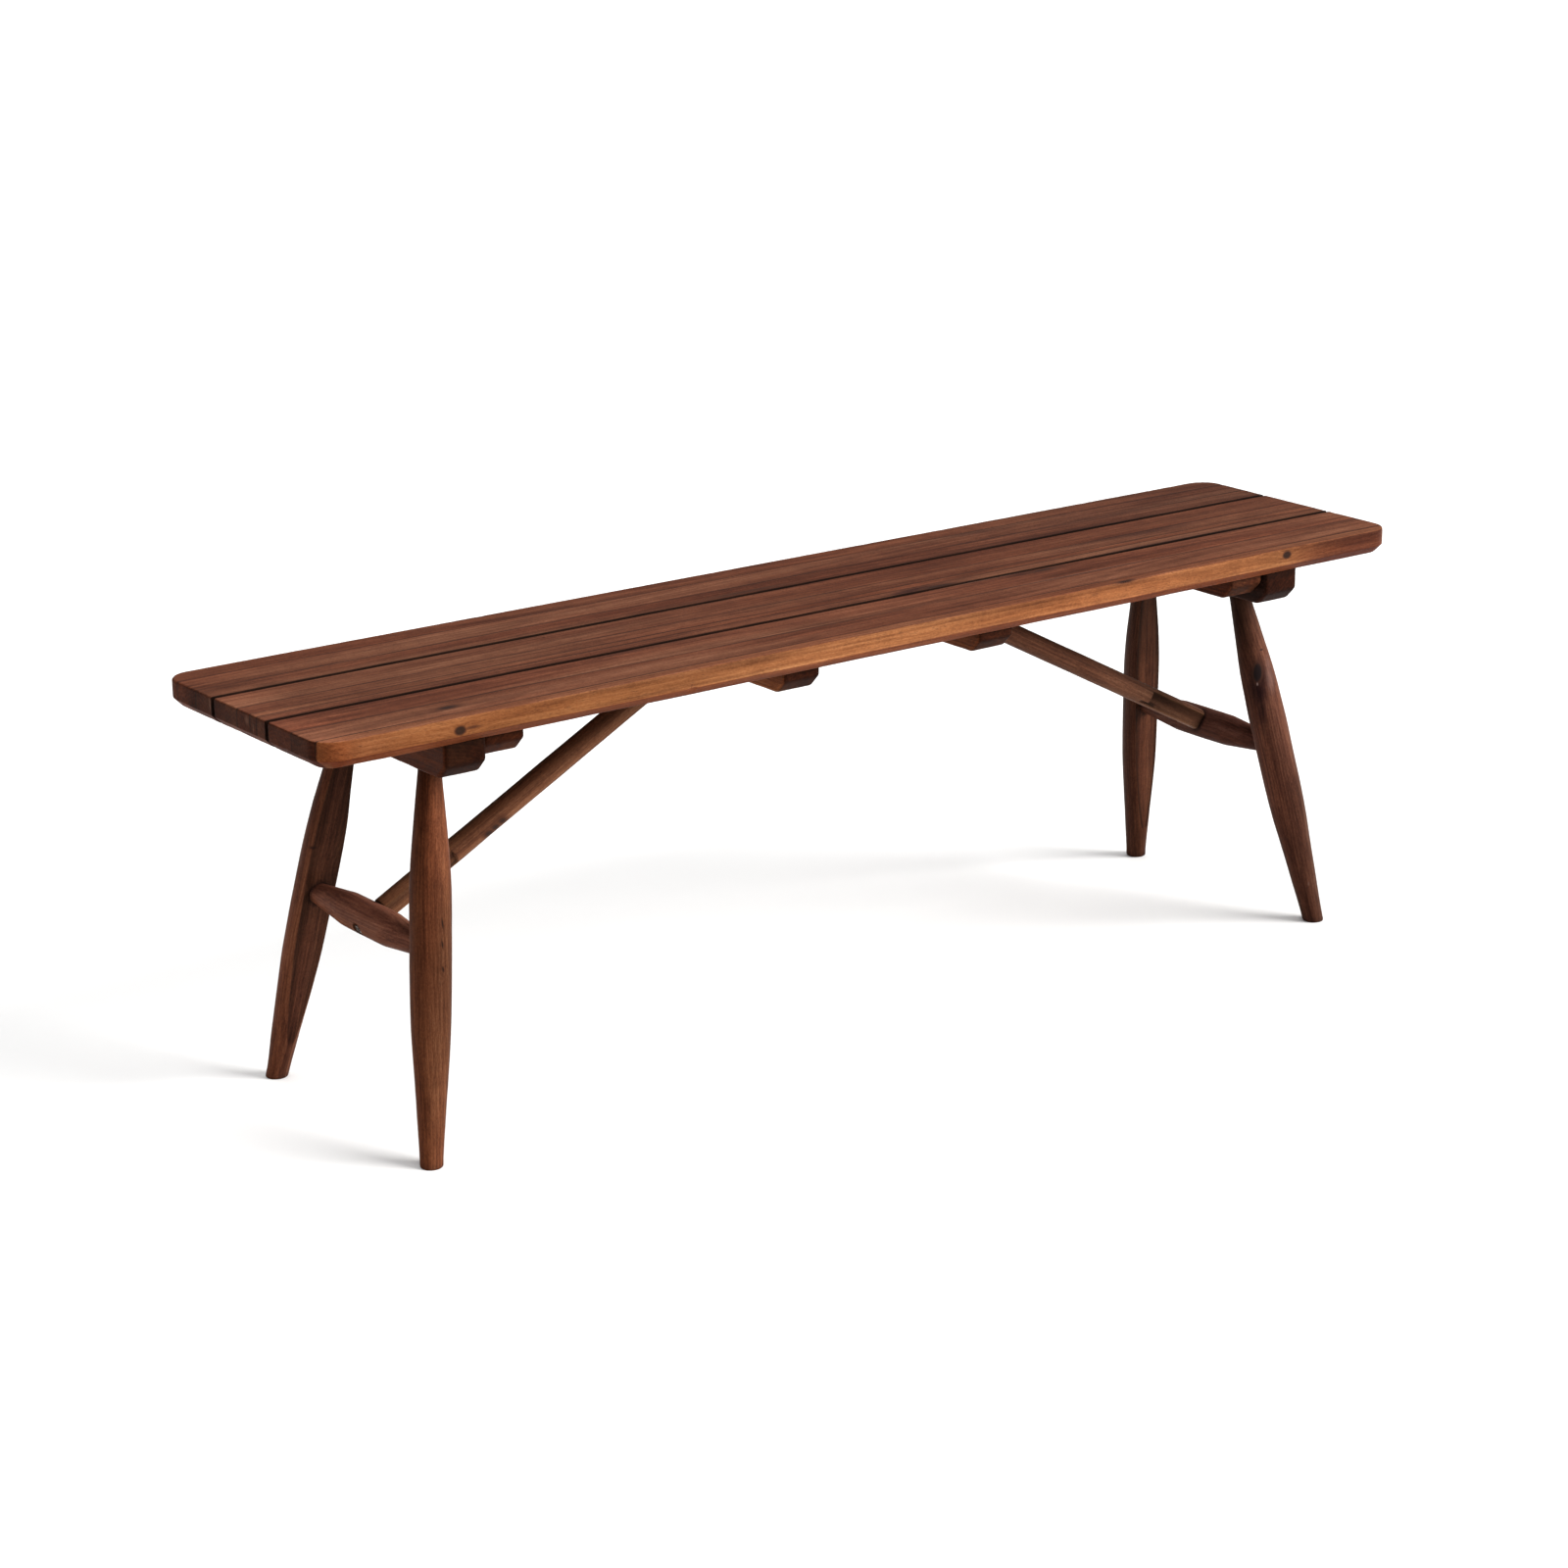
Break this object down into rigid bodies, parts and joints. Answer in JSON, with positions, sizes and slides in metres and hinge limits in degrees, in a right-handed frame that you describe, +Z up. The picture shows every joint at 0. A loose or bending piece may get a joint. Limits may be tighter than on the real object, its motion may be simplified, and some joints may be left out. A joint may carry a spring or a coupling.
{
  "type": "outdoor dining bench",
  "caption": "Backless slatted hardwood bench with splayed turned legs, end stretchers and diagonal round braces.",
  "frame": {"origin": "middle of the footprint, on the ground under the seat's centre", "axes": "+X along the bench's length to its right end as seen from the front, +Y to the rear, +Z up"},
  "size_m": [1.42, 0.3368, 0.458],
  "materials": {
    "slat_wood": "oiled",
    "rail_wood": "oiled",
    "batten_wood": "oiled",
    "leg_wood": "oiled",
    "stretcher_wood": "oiled",
    "brace_wood": "oiled",
    "bolt_steel": "zinc-plated, satin",
    "washer_steel": "zinc-plated, satin",
    "nut_steel": "zinc-plated, satin",
    "insert_brass": "satin",
    "screw_steel": "yellow zinc, satin"
  },
  "bodies": {
    "root": {"rear_slat": "slat_wood", "middle_slat": "slat_wood", "front_slat": "slat_wood", "left_leg_rail": "rail_wood", "right_leg_rail": "rail_wood", "left_end_batten": "batten_wood", "right_end_batten": "batten_wood", "left_mid_batten": "batten_wood", "right_mid_batten": "batten_wood", "front_left_leg": "leg_wood", "rear_left_leg": "leg_wood", "front_right_leg": "leg_wood", "rear_right_leg": "leg_wood", "left_stretcher": "stretcher_wood", "right_stretcher": "stretcher_wood", "left_brace": "brace_wood", "right_brace": "brace_wood", "left_stretcher_bolt": "bolt_steel", "right_stretcher_bolt": "bolt_steel", "barrel_nuts": "nut_steel", "rail_bolts": "bolt_steel", "insert_nuts": "insert_brass", "bolt_washers": "washer_steel", "batten_screws": "screw_steel", "brace_top_screws": "screw_steel"}
  },
  "joints": []
}
